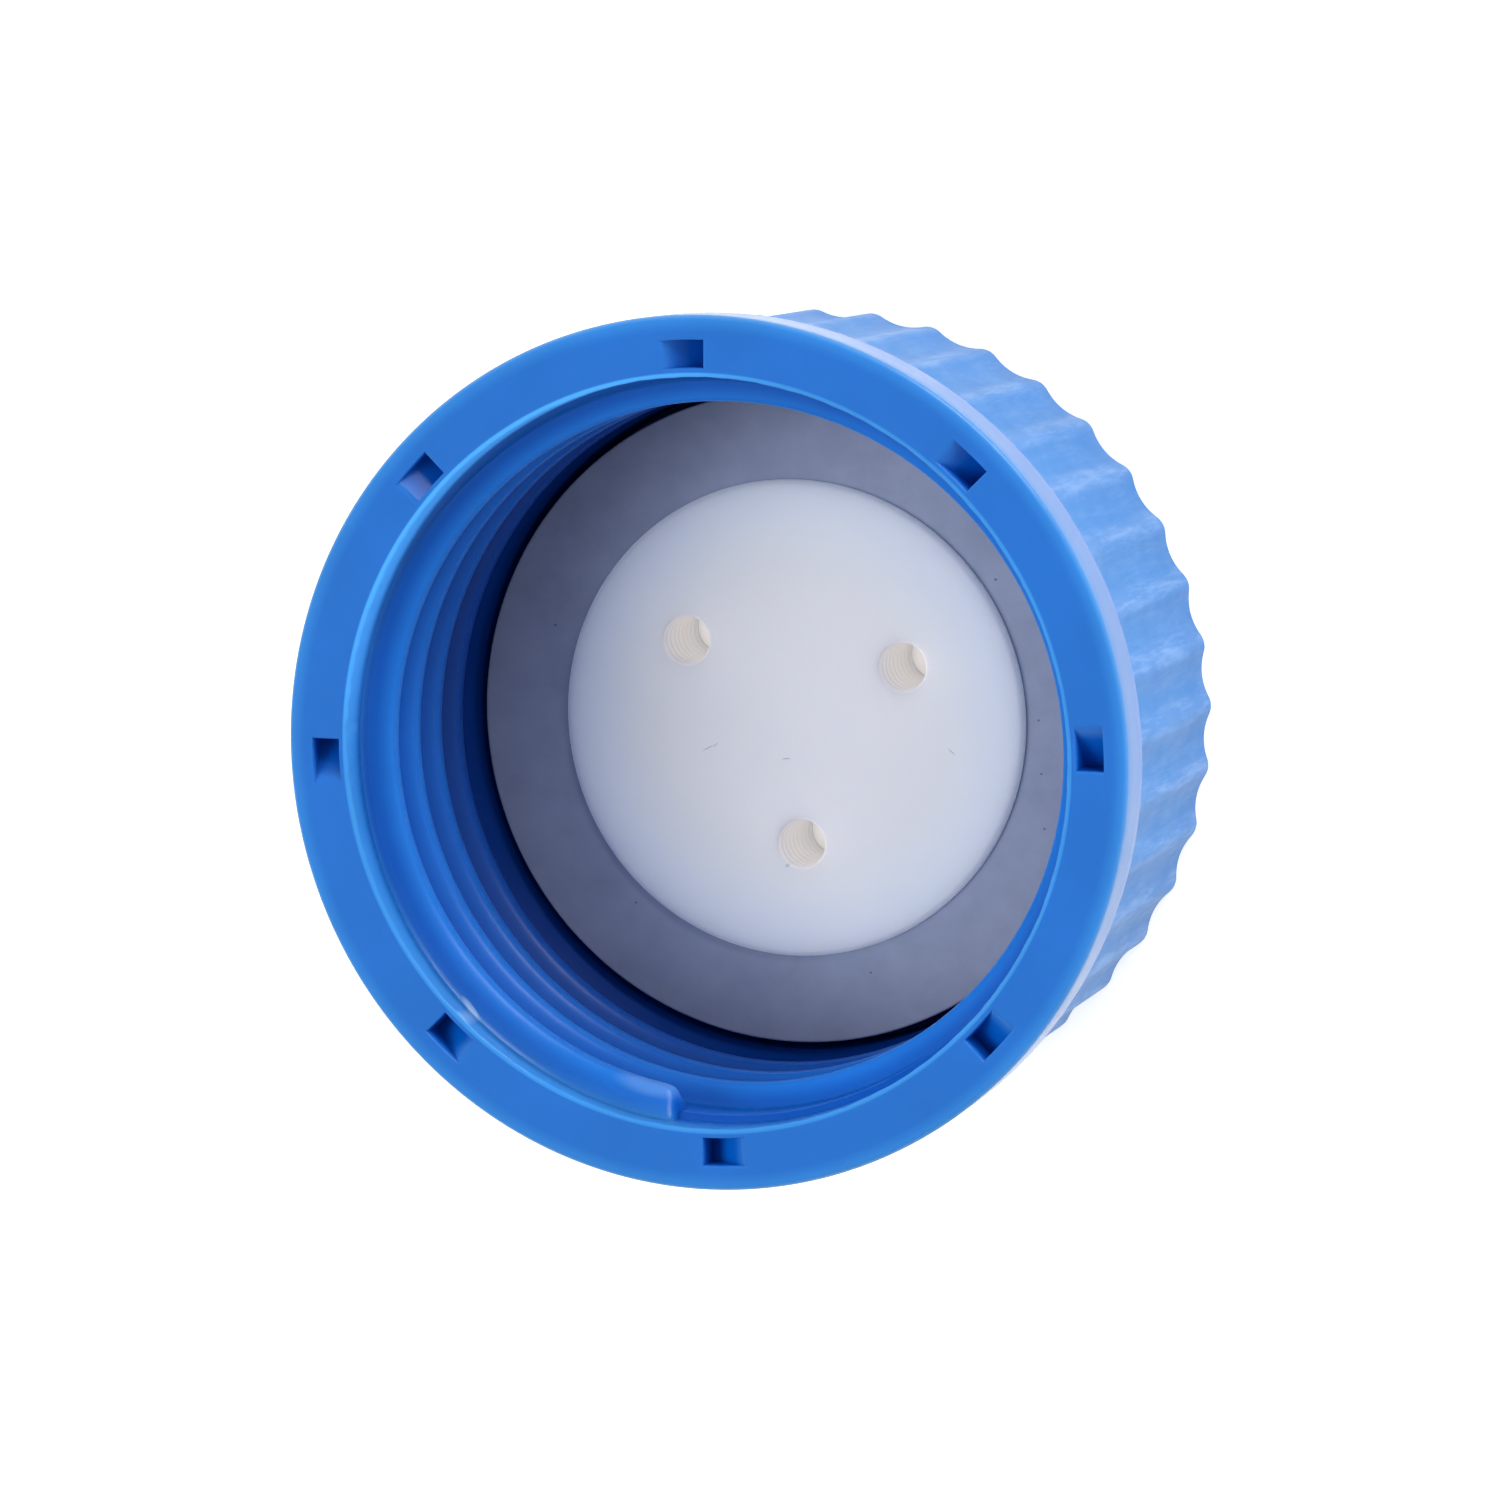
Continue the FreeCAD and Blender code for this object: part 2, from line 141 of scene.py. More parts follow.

# %% [markdown]
# ## The floor
# The background of the photograph is pure white. More light would only bleach the cap, so the floor
# shows white to the camera and to reflections, while it lights the cap at a plain level. A share of
# its own shading stays in, so that the cap keeps its soft shadow. Right under the cap, where the
# floor is seen through the ports, the white is dimmed and creamy: painted shade under the cap, warmed
# by painted light that comes through the waxy disc. The floor lies a hair below the cap, so that the
# two faces don't flicker through each other.

# %% Floor
FLOOR_GLOW = 0.64
FLOOR_REACH = 1.6
FLOOR_DROP = 0.05 * MM
# Painted shade: the floor under the cap is dimmed and warmed towards cream.
UNDER_CAP_SHADE_RADIUS = 20.0 * MM
UNDER_CAP_SHADE = (0.60, 0.575, 0.55, 1)
BLACK = (0, 0, 0, 1)
WHITE = (1, 1, 1, 1)
floor_material, tree = new_material("white_floor")
matt = node(tree, "ShaderNodeBsdfDiffuse", {"Color": (0.8, 0.8, 0.8, 1)})
across = node(tree, "ShaderNodeTexCoord").outputs["Object"]
across = node(tree, "ShaderNodeVectorMath", {0: across}, operation="LENGTH").outputs["Value"]
shade_beneath = node(tree, "ShaderNodeValToRGB", {"Fac": math_node(tree, "MULTIPLY", across, 1 / UNDER_CAP_SHADE_RADIUS)})
shade_beneath.color_ramp.elements[0].color = UNDER_CAP_SHADE
shade_beneath.color_ramp.elements[0].position = 0.7
shade_beneath.color_ramp.elements[1].color = WHITE
glow = node(tree, "ShaderNodeEmission", {"Color": shade_beneath.outputs[0], "Strength": FLOOR_GLOW})
nothing = node(tree, "ShaderNodeEmission", {"Color": BLACK, "Strength": 0.0})
shown = node(tree, "ShaderNodeMixShader", {0: seen_rays(tree), 1: nothing.outputs[0], 2: glow.outputs[0]})
both = node(tree, "ShaderNodeAddShader", {0: matt.outputs[0], 1: shown.outputs[0]})
node(tree, "ShaderNodeOutputMaterial", {"Surface": both.outputs[0]})

corners = [(x * FLOOR_REACH, y * FLOOR_REACH, -FLOOR_DROP) for x, y in ((-1, -1), (1, -1), (1, 1), (-1, 1))]
floor_mesh = bpy.data.meshes.new("floor")
floor_mesh.from_pydata(corners, [], [(0, 1, 2, 3)])
floor_mesh.materials.append(floor_material)
floor = bpy.data.objects.new("floor", floor_mesh)
bpy.context.scene.collection.objects.link(floor)
print("floor corners:", corners)

# %% [markdown]
# ## The world
# A photographer's studio is white all round, and dimmer at the ceiling. A picture of a studio could
# stand for it, but plain strengths are easier to set. So the world lights the cap softly from all
# sides and shows white to the camera, and in reflections it is white near the horizon only.

# %% World
WORLD_LIGHT = 0.44
CEILING = 0.3
world = bpy.data.worlds.new("studio")
world.use_nodes = True
world.node_tree.nodes.clear()
tree = world.node_tree
towards = node(tree, "ShaderNodeTexCoord").outputs["Generated"]
upward = node(tree, "ShaderNodeSeparateXYZ", {0: towards}).outputs[2]
overhead = node(tree, "ShaderNodeMapRange", {"Value": upward, "From Min": 0.25, "From Max": 0.55, "To Min": 1.0,
                                             "To Max": CEILING}, interpolation_type="SMOOTHSTEP").outputs[0]
path = node(tree, "ShaderNodeLightPath")
straight = math_node(tree, "MAXIMUM", path.outputs["Is Camera Ray"], overhead)
soft = node(tree, "ShaderNodeBackground", {"Color": WHITE, "Strength": WORLD_LIGHT})
white = node(tree, "ShaderNodeBackground", {"Color": WHITE, "Strength": straight})
mixed = node(tree, "ShaderNodeMixShader", {0: seen_rays(tree), 1: soft.outputs[0], 2: white.outputs[0]})
node(tree, "ShaderNodeOutputWorld", {"Surface": mixed.outputs[0]})
bpy.context.scene.world = world
bpy.context.scene.view_settings.view_transform = "Standard"
print("world has", len(tree.nodes), "nodes")

# %% [markdown]
# ## The lamps
# The shadows in the photograph are soft, so all lamps are wide squares, where a sun or a point would
# draw hard edges. One large lamp stands to the left, as the shading of the white disc shows. A low
# one at the upper right shines in over the rim and draws the soft lines on the thread. Another low
# one on the right brings out the flutes of the outer wall. Reflections show only the second, because
# the other two would leave pale lines on the blue.

# %% Lamps
def soft_lamp(name, direction, distance, width, power, reflected):
    """A square lamp that faces the cap from a direction, in metres and watts."""
    data = bpy.data.lights.new(name, "AREA")
    data.shape = "SQUARE"
    data.size = width
    data.energy = power
    lamp = bpy.data.objects.new(name, data)
    towards = Vector(direction).normalized()
    lamp.location = towards * distance
    lamp.rotation_euler = towards.to_track_quat("Z", "Y").to_euler()
    lamp.visible_glossy = reflected
    bpy.context.scene.collection.objects.link(lamp)


soft_lamp("key_lamp", (-0.61, -0.03, 0.79), 1.20, 0.64, 8.6, reflected=False)
soft_lamp("window_lamp", (0.57, 0.73, 0.375), 0.60, 0.30, 2.0, reflected=True)
soft_lamp("side_lamp", (0.93, -0.10, 0.27), 0.42, 0.24, 0.6, reflected=False)

# %% [markdown]
# ## Turned and moulded surfaces as grids
# Every piece here is round, as it comes from a lathe or a mould. A screw modifier could turn a
# section into such a surface, but not one with flutes and pockets, which change with the angle. So
# each piece is a grid of points: one column for each angle round the axis, one row for each step
# along its section. A list of radii and levels makes a plain turned piece, and a whole table of
# them, one value for each point, makes flutes and pockets.

# %% Helpers for meshes
def add_object(name, mesh, body, node_name):
    """Put a finished mesh in the scene, in place of the solid that it follows."""
    made = bpy.data.objects.new(name, mesh)
    bpy.context.scene.collection.objects.link(made)
    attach(made, body)
    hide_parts(node_name)


def grid_faces(rows, columns, close_rows, close_columns, first=0):
    """Quads between the points of a grid, whose points are numbered row by row."""
    row = np.arange(rows if close_rows else rows - 1)
    column = np.arange(columns if close_columns else columns - 1)
    row, column = (part.ravel() for part in np.meshgrid(row, column, indexing="ij"))
    next_row, next_column = (row + 1) % rows, (column + 1) % columns
    corners = (row * columns + column, row * columns + next_column,
               next_row * columns + next_column, next_row * columns + column)
    return np.stack(corners, axis=1) + first


def to_points(radius, level, angle):
    """Points in metres from radii and levels in millimetres and angles in radians."""
    across = np.broadcast_to(radius, np.broadcast_shapes(np.shape(radius), np.shape(angle)))
    parts = np.broadcast_arrays(across * np.cos(angle), across * np.sin(angle), level)
    return np.stack(parts, axis=-1).reshape(-1, 3) * MM


def mesh_from(name, points, faces):
    """A smooth mesh that keeps its edges of more than 38 degrees sharp."""
    mesh = bpy.data.meshes.new(name)
    mesh.from_pydata(points.tolist(), [], faces.tolist())
    mesh.validate()
    mesh.shade_smooth()
    mesh.set_sharp_from_angle(angle=math.radians(38))
    return mesh


def rounded(corner_radius, corner_level, size, start, steps=5):
    """Points of a quarter circle inside a square corner; start is its first angle in degrees."""
    turn = np.radians(np.linspace(start, start + 90, steps + 1))
    middle = np.radians(start + 45)
    centre_radius = corner_radius - size * np.sign(np.cos(middle))
    centre_level = corner_level - size * np.sign(np.sin(middle))
    return [(centre_radius + size * np.cos(a), centre_level + size * np.sin(a)) for a in turn]


print("mesh helpers are ready")

# %% [markdown]
# ## The outer wall of the ring
# Forty flutes run up the wall as a grip: narrow rounded crests with wider valleys between them. They
# could be cut with forty cylinders, but the cuts would leave long thin faces that shade badly. So we
# work out how deep a flute is at each angle from two arcs that touch, a crest and a valley, and take
# that off the wall's radius. The wall leans outwards a little on its way up to the smooth band.

# %% Flutes
FLUTES = 40
FLUTE_DEPTH = 0.45
CREST_ROUND = 1.3
HEAD_WALL_RADIUS = 25.45
COLLAR_WALL_RADIUS = 26.2
COLLAR_LEVEL = 22.0


def flute_depth(angle):
    """How far the surface lies under the crests, at angles from the middle of a valley."""
    half = HEAD_WALL_RADIUS * math.pi / FLUTES
    valley_round = (half ** 2 + FLUTE_DEPTH ** 2 - 2 * CREST_ROUND * FLUTE_DEPTH) / (2 * FLUTE_DEPTH)
    join = half * valley_round / (valley_round + CREST_ROUND)
    turn = angle * FLUTES / (2 * math.pi)
    along = np.abs(turn - np.round(turn)) * 2 * half
    valley = FLUTE_DEPTH - valley_round + np.sqrt(np.maximum(valley_round ** 2 - along ** 2, 0))
    crest = CREST_ROUND - np.sqrt(np.maximum(CREST_ROUND ** 2 - (half - along) ** 2, 0))
    return np.where(along < join, valley, crest)


print("flute depth at valley, join and crest:",
      np.round(flute_depth(np.array([0.0, math.pi / FLUTES * 0.7, math.pi / FLUTES])), 3))

# %% [markdown]
# ## The ratchet pockets
# Eight pockets are sunk in the rim, where a locking ring would catch. Each has a steep wall at one
# end and a floor that ramps up to the rim, going counter-clockwise. Cutting them would leave sharp
# edges. Here the rim's height is a plain function of place instead: zero outside, and inside a
# pocket the smaller of the ramp and a short rounded fall from each side. Each steep wall gets a few
# extra columns, and near twins of a column go.

# %% Pockets
POCKETS = 8
POCKET_ANGLE = 38.0
POCKET_INNER = ENTRY_RADIUS + 0.46
POCKET_OUTER = POCKET_INNER + 1.94
POCKET_LENGTH = 2.85
POCKET_DEPTH = 2.1
POCKET_MIDDLE = (POCKET_INNER + POCKET_OUTER) / 2
EDGE = 0.10
STEEPNESS = 60


def fall(distance):
    """Depth at a distance inside a pocket's wall: a small rounded edge, then straight down."""
    inside = np.clip(distance / EDGE, 0, 1)
    edge = EDGE * (1 - np.sqrt(1 - inside ** 2))
    return edge + np.clip((distance - EDGE) * STEEPNESS, 0, None)


def pocket_depth(radius, angle):
    """How far the rim is sunk at a radius and an angle."""
    turn = (angle - math.radians(POCKET_ANGLE)) % (2 * math.pi / POCKETS)
    along = turn * POCKET_MIDDLE
    ramp = POCKET_DEPTH * (1 - along / POCKET_LENGTH)
    depth = np.minimum(ramp, fall(along))
    depth = np.minimum(depth, fall(radius - POCKET_INNER))
    depth = np.minimum(depth, fall(POCKET_OUTER - radius))
    return np.maximum(depth, 0)


EDGE_STEPS = [0.0, 0.04, 0.07, EDGE, EDGE + 0.012, EDGE + 0.036]
EVEN_COLUMNS = 720
LEAST_GAP = 0.0003
near_walls = [math.radians(POCKET_ANGLE) + 2 * math.pi * number / POCKETS + np.array(EDGE_STEPS) / POCKET_MIDDLE
              for number in range(POCKETS)]
evenly = np.arange(EVEN_COLUMNS) * 2 * math.pi / EVEN_COLUMNS
columns = np.unique(np.round(np.concatenate([evenly, *near_walls]) % (2 * math.pi), 7))
ANGLES = columns[np.append(True, np.diff(columns) > LEAST_GAP)]
print("columns round the ring:", len(ANGLES))

# %% [markdown]
# ## The moulded ring
# Its section runs once round: over the head's face, up the fluted wall, round the smooth band,
# across the rim, down the mouth past a small step, down the thread's root, over the seat and back
# through the opening. Each row is a radius and a level for every angle. First come the head's face
# and the wall.

# %% Head and wall
OPENING_RADIUS = 17.0
OPENING_ROUND = 0.25
HEAD_ROUND = 0.3
WALL_TOP_ROUND = 0.25
flat = np.zeros_like(ANGLES)
depth_here = flute_depth(ANGLES)
rows = []


def add_row(radius, level):
    rows.append((radius + flat, level + flat))


def wall_radius(level):
    """Radius of the fluted wall at a level, for every angle."""
    lean = (COLLAR_WALL_RADIUS - HEAD_WALL_RADIUS) / COLLAR_LEVEL
    return HEAD_WALL_RADIUS + lean * level - depth_here


for radius in (OPENING_RADIUS + OPENING_ROUND, 19.0, 21.0, 23.0, 24.3):
    add_row(radius, 0.0)
for turn in np.radians(np.linspace(0, 90, 6)):
    add_row(wall_radius(0) - HEAD_ROUND * (1 - math.sin(turn)), HEAD_ROUND * (1 - math.cos(turn)))
for level in np.linspace(1.0, COLLAR_LEVEL - WALL_TOP_ROUND, 12):
    add_row(wall_radius(level), level)
for turn in np.radians((30, 60, 90)):
    add_row(wall_radius(COLLAR_LEVEL) + WALL_TOP_ROUND * (1 - math.cos(turn)),
            COLLAR_LEVEL - WALL_TOP_ROUND * (1 - math.sin(turn)))
print("rows up to the band:", len(rows))

# %% [markdown]
# Then come the band, the rim's outer edge and the rim itself. The rows across the rim crowd together
# at the pockets' walls, where the level changes most.

# %% Band and rim
BAND_FOOT_RADIUS = RIM_RADIUS - 0.15
BAND_FOOT_ROUND = 0.25
BAND_ROUND = 0.35
for radius, level in rounded(BAND_FOOT_RADIUS, COLLAR_LEVEL, BAND_FOOT_ROUND, -90):
    add_row(radius, level)
for share in (0.35, 0.65):
    add_row(BAND_FOOT_RADIUS + share * (RIM_RADIUS - BAND_FOOT_RADIUS),
            COLLAR_LEVEL + share * (CAP_HEIGHT - COLLAR_LEVEL))
for radius, level in rounded(RIM_RADIUS, CAP_HEIGHT, BAND_ROUND, 0, 6):
    add_row(radius, level)
inward = [POCKET_OUTER + 0.4, POCKET_OUTER, *(POCKET_OUTER - step for step in EDGE_STEPS[1:])]
inward += [POCKET_MIDDLE + 0.45, POCKET_MIDDLE, POCKET_MIDDLE - 0.45]
inward += [*(POCKET_INNER + step for step in EDGE_STEPS[:0:-1]), POCKET_INNER]
for radius in inward:
    add_row(radius, CAP_HEIGHT - pocket_depth(radius, ANGLES))
print("rows up to the mouth:", len(rows))

# %% [markdown]
# Last come the mouth and the bore. The mouth's inner edge was trimmed after moulding, which left a
# fine uneven line with one small bead of flash. So a sum of sines makes the edge waver by a few
# hundredths of a millimetre, more so on the left, and one narrow bulge makes the bead.

# %% Mouth and bore
MOUTH_ROUND = 0.16
ENTRY_DEPTH = 2.7
STEP_SLOPE = 0.3
SEAT_RADIUS = 21.4
SEAT_LEVEL = 6.2
SEAT_SLOPE = 1.2
HEAD_THICKNESS = 2.2
STEP_LEVEL = CAP_HEIGHT - ENTRY_DEPTH
CONE_LEVEL = SEAT_LEVEL + SEAT_SLOPE


def bulge(middle, width):
    """1 at an angle in degrees, and less and less to both sides of it."""
    return np.exp(-((np.degrees(ANGLES) - middle) / width) ** 2)


WAVES = ((23, 1.0), (41, 4.0), (9, 0.0), (97, 0.0))
ripple = sum(np.sin(ANGLES * count + start) for count, start in WAVES)
waver = (0.009 + 0.014 * bulge(172, 18)) * ripple - 0.08 * bulge(220, 1.6)
for turn in np.radians(np.linspace(90, 180, 6)):
    add_row(ENTRY_RADIUS + MOUTH_ROUND + waver + MOUTH_ROUND * math.cos(turn),
            CAP_HEIGHT - MOUTH_ROUND * (1 - math.sin(turn)))
add_row(ENTRY_RADIUS + waver / 3, CAP_HEIGHT - 0.6)
for radius, level in ((ENTRY_RADIUS, STEP_LEVEL + 0.05), (ENTRY_RADIUS - 0.04, STEP_LEVEL),
                      (ROOT_RADIUS + 0.04, STEP_LEVEL - STEP_SLOPE + 0.02),
                      (ROOT_RADIUS, STEP_LEVEL - STEP_SLOPE - 0.05)):
    add_row(radius, level)
for level in np.linspace(STEP_LEVEL - 1.5, CONE_LEVEL + 0.1, 7):
    add_row(ROOT_RADIUS, level)
for radius, level in ((ROOT_RADIUS - 0.08, CONE_LEVEL - 0.07), (SEAT_RADIUS + 0.06, SEAT_LEVEL + 0.06),
                      (SEAT_RADIUS, SEAT_LEVEL - 0.1), (SEAT_RADIUS, HEAD_THICKNESS),
                      (OPENING_RADIUS, HEAD_THICKNESS), (OPENING_RADIUS, OPENING_ROUND)):
    add_row(radius, level)
ring_radius = np.array([row[0] for row in rows])
ring_level = np.array([row[1] for row in rows])
ring_points = to_points(ring_radius, ring_level, ANGLES)
ring_faces = grid_faces(len(rows), len(ANGLES), True, True)
print("rows in the ring's section:", len(rows), "quads:", len(ring_faces))

# %% [markdown]
# ## The thread
# The thread is a ridge of 4 mm pitch that winds up the inside wall and ends squarely near the mouth.
# Its section is a trapezoid with soft corners and a hollow fillet at each foot. A bevel could round
# the corners, but it would not know where the ridge runs into the wall. So we take the smaller of
# the ridge's radius and the wall's at each point, and round that choice a little.

# %% Section of the thread
CREST_BLEND = 0.45
FOOT_BLEND = 0.30
HALF_CREST = 0.5
FLANK_SLOPE = 1.5 / 0.85
SUNK = 0.02


def bore_radius(level):
    """Radius of the bare bore at a level: seat, cone, thread root, step and land."""
    return np.interp(level, [SEAT_LEVEL, CONE_LEVEL, STEP_LEVEL - STEP_SLOPE, STEP_LEVEL],
                     [SEAT_RADIUS, ROOT_RADIUS, ROOT_RADIUS, ENTRY_RADIUS])


def smooth_least(first, second, blend):
    """The smaller of two values, with the corner between them rounded."""
    share = np.clip(0.5 + 0.5 * (second - first) / blend, 0, 1)
    return second + (first - second) * share - blend * share * (1 - share)


offsets = np.concatenate([np.linspace(-2.1, -1.1, 8), np.linspace(-0.95, 0.95, 15), np.linspace(1.1, 2.1, 8)])
flank = (np.abs(offsets) - HALF_CREST) * FLANK_SLOPE
ridge_section = CREST_RADIUS - smooth_least(-flank, 0 * flank, CREST_BLEND)
print("the ridge's section goes from", round(ridge_section.min(), 2), "to", round(ridge_section.max(), 2), "mm")

# %% [markdown]
# A screw modifier could wind the section, but its ends would stay cut off. We carry the section
# along the helix by hand, and let it sink into the wall over the last millimetre or so at each end,
# which rounds the squared end as the mould does.

# %% Thread
PITCH = 4.0
TURNS = 3.5
COLUMNS_PER_TURN = 220
START_DEPTH = 3.07
START_ANGLE = 257.3
along_end = np.array([0.0, 0.1, 0.25, 0.45, 0.7, 1.0, 1.4]) / CREST_RADIUS
end_rise = np.array([0.0, 0.30, 0.56, 0.78, 0.92, 0.98, 1.0])
sweep = TURNS * 2 * math.pi
middle = np.linspace(along_end[-1], sweep - along_end[-1], int(TURNS * COLUMNS_PER_TURN))[1:-1]
travel = np.concatenate([along_end, middle, sweep - along_end[::-1]])
share = np.concatenate([end_rise, np.ones_like(middle), end_rise[::-1]])
thread_angle = math.radians(START_ANGLE) - sweep + travel
thread_middle = CAP_HEIGHT - START_DEPTH - (sweep - travel) / (2 * math.pi) * PITCH
thread_level = thread_middle[None, :] + offsets[:, None]
wall_here = bore_radius(thread_level) + SUNK
ridge_here = smooth_least(ridge_section[:, None], wall_here, FOOT_BLEND)
thread_radius = wall_here - (wall_here - ridge_here) * share
thread_points = to_points(thread_radius, thread_level, thread_angle[None, :])
thread_faces = grid_faces(len(offsets), len(travel), False, False, first=len(ring_points))[:, ::-1]
ring_mesh = mesh_from("screw_ring_finished", np.concatenate([ring_points, thread_points]),
                      np.concatenate([ring_faces, thread_faces]))
add_object("ring_moulding", ring_mesh, "ring", "screw_ring")
print("quads in the thread:", len(thread_faces), "in the whole ring:", len(ring_mesh.polygons))

# %% [markdown]
# ## The ported disc
# The white disc was turned from bar, so its section is plain: a neck in the ring's opening, a flange
# and a raised boss with a softly rounded edge. Its holes could be cut out of a whole disc, but then
# their fine threads would have no points of their own. So the mesh stays open at both flat ends
# until the ports are in.

# %% Section of the disc
NECK_RADIUS = OPENING_RADIUS - 0.1
BOSS_RADIUS = 15.25
BOSS_ROUND = 0.4
DISC_ROUND = 0.2
DISC_COLUMNS = 256
FLANGE_TOP = seal_low.z
disc_top = insert_high.z
disc_foot = insert_low.z
disc_section = [(NECK_RADIUS - 2 * DISC_ROUND, disc_foot), *rounded(NECK_RADIUS, disc_foot, DISC_ROUND, -90),
                (NECK_RADIUS, HEAD_THICKNESS), *rounded(FLANGE_RADIUS, HEAD_THICKNESS, DISC_ROUND, -90),
                *rounded(FLANGE_RADIUS, FLANGE_TOP, DISC_ROUND, 0), (BOSS_RADIUS, FLANGE_TOP),
                *rounded(BOSS_RADIUS, disc_top, BOSS_ROUND, 0, 8),
                (BOSS_RADIUS - BOSS_ROUND - DISC_ROUND, disc_top)]
disc_angles = np.arange(DISC_COLUMNS) * 2 * math.pi / DISC_COLUMNS
disc_radius, disc_level = np.array(disc_section).T[:, :, None]
disc_points = to_points(disc_radius, disc_level, disc_angles[None, :])
disc_faces = grid_faces(len(disc_section), len(disc_angles), False, True)
work = bmesh.new()
verts = [work.verts.new(point) for point in disc_points]
for face in disc_faces:
    work.faces.new([verts[index] for index in face])
lower_rims = [verts[:len(disc_angles)]]
upper_rims = [verts[-len(disc_angles):]]
print("points in the disc's section:", len(disc_section), "quads:", len(disc_faces))

# %% [markdown]
# ## The ports
# Tubes go through the three ports. Each port carries a fine inner thread, whose ridges show as pale
# arcs in the photograph. A bump in the material could fake them, but they show in outline at the
# mouth. So a cosine that shifts with the angle makes the thread in the mesh, and it fades out near
# both rounded edges.

# %% Ports
PORTS = ((8.6, 139.7), (8.05, 19.7), (8.0, 267.2))
PORT_RADIUS = 1.6
PORT_PITCH = 0.8
PORT_RIDGE = 0.06
PORT_COLUMNS = 48
bore_angles = np.arange(PORT_COLUMNS) * 2 * math.pi / PORT_COLUMNS
edge_depth = np.array([0.0, 0.0, 0.035, 0.12])
edge_extra = np.array([0.32, 0.12, 0.035, 0.0])
ridge_levels = np.arange(disc_foot + 0.2, disc_top - 0.2, PORT_PITCH / 12)
levels = np.concatenate([disc_foot + edge_depth, ridge_levels, (disc_top - edge_depth)[::-1]])[:, None]
extra = np.concatenate([edge_extra, 0 * ridge_levels, edge_extra[::-1]])[:, None]
fade = np.clip(np.minimum(levels - disc_foot, disc_top - levels) / 0.3 - 0.4, 0, 1)
ridge = PORT_RIDGE * (0.5 + 0.5 * np.cos(levels / PORT_PITCH * 2 * math.pi - bore_angles[None, :])) ** 3
port_radius = PORT_RADIUS - PORT_RIDGE + extra + ridge * fade
for distance, angle in PORTS:
    x = distance * math.cos(math.radians(angle)) + port_radius * np.cos(bore_angles)
    y = distance * math.sin(math.radians(angle)) + port_radius * np.sin(bore_angles)
    z = np.broadcast_to(levels, x.shape)
    bore = [[work.verts.new(Vector(point) * MM) for point in zip(*ring_row)] for ring_row in zip(x, y, z)]
    for low, high in zip(bore, bore[1:]):
        for first in range(len(low)):
            second = (first + 1) % len(low)
            work.faces.new((low[second], low[first], high[first], high[second]))
    lower_rims.append(bore[0])
    upper_rims.append(bore[-1])
print("levels in each port:", len(levels))

# %% [markdown]
# The two flat ends are filled round the three holes, from the loops of edges that bound them.

# %% Flat ends of the disc
def edge_loop(loop):
    """The edges between the points of a closed loop, made where they are missing."""
    return [work.edges.get((first, second)) or work.edges.new((first, second))
            for first, second in zip(loop, loop[1:] + loop[:1])]


for rims in (lower_rims, upper_rims):
    edges = [edge for loop in rims for edge in edge_loop(loop)]
    bmesh.ops.triangle_fill(work, edges=edges, use_beauty=True)
bmesh.ops.recalc_face_normals(work, faces=work.faces)
disc_mesh = bpy.data.meshes.new("port_insert_finished")
work.to_mesh(disc_mesh)
work.free()
disc_mesh.shade_smooth()
disc_mesh.set_sharp_from_angle(angle=math.radians(50))
add_object("ported_disc", disc_mesh, "insert", "port_insert")
print("faces in the disc:", len(disc_mesh.polygons))

# %% [markdown]
# ## The seal
# A flat ring cut from soft grey sheet lies on the flange, round the boss. It could be drawn as part
# of the disc, but it is a piece of its own, with its own material. Its edges are barely rounded, and
# its wide face is the one that the bottle's rim presses on.

# %% Seal
SEAL_BORE = BOSS_RADIUS - 0.07
SEAL_ROUND = 0.15
SEAL_MIDDLE = 18.1
SEAL_COLUMNS = 360
seal_section = [*rounded(FLANGE_RADIUS, seal_low.z, SEAL_ROUND, -90),
                *rounded(FLANGE_RADIUS, seal_high.z, SEAL_ROUND, 0), (SEAL_MIDDLE, seal_high.z),
                (SEAL_BORE + SEAL_ROUND, seal_high.z), (SEAL_BORE, seal_high.z), (SEAL_BORE, seal_low.z)]
seal_angles = np.arange(SEAL_COLUMNS) * 2 * math.pi / SEAL_COLUMNS
seal_radius, seal_level = np.array(seal_section).T[:, :, None]
seal_points = to_points(seal_radius, seal_level, seal_angles[None, :])
seal_faces = grid_faces(len(seal_section), len(seal_angles), True, True)
seal_mesh = mesh_from("seal_ring_finished", seal_points, seal_faces)
add_object("seal", seal_mesh, "insert", "seal_ring")
print("faces in the seal:", len(seal_mesh.polygons))

# %% [markdown]
# ## Finding places on a surface
# Each material below changes from place to place. We could paint those places on an image, but a
# rule needs none and stays sharp however near we look. A soft limit on the height or on the distance
# from the axis is 1 on one side and 0 on the other, with a smooth rise between the two millimetre
# marks that it names. The product of a few such limits picks out a zone, and colours are mixed over
# each other there.

# %% Helpers for places
def mix_colour(tree, amount, first, second):
    """The first colour where the amount is 0, the second where it is 1."""
    made = node(tree, "ShaderNodeMix", data_type="RGBA")
    for number, value in ((0, amount), (6, first), (7, second)):
        if isinstance(value, bpy.types.NodeSocket):
            tree.links.new(value, made.inputs[number])
        else:
            made.inputs[number].default_value = value
    return made.outputs[2]


def paint(tree, colour, layers):
    """Mix layers over a colour, one after another; each is an amount and a colour."""
    for amount, layer in layers:
        colour = mix_colour(tree, amount, colour, layer)
    return colour


def soft_limit(tree, value, start, end):
    """0 up to start, 1 from end on, both in millimetres, with a smooth rise between."""
    return node(tree, "ShaderNodeMapRange", {"Value": value, "From Min": start * MM, "From Max": end * MM},
                interpolation_type="SMOOTHSTEP").outputs[0]


def times(tree, *factors):
    """The product of all factors."""
    product = factors[0]
    for factor in factors[1:]:
        product = math_node(tree, "MULTIPLY", product, factor)
    return product


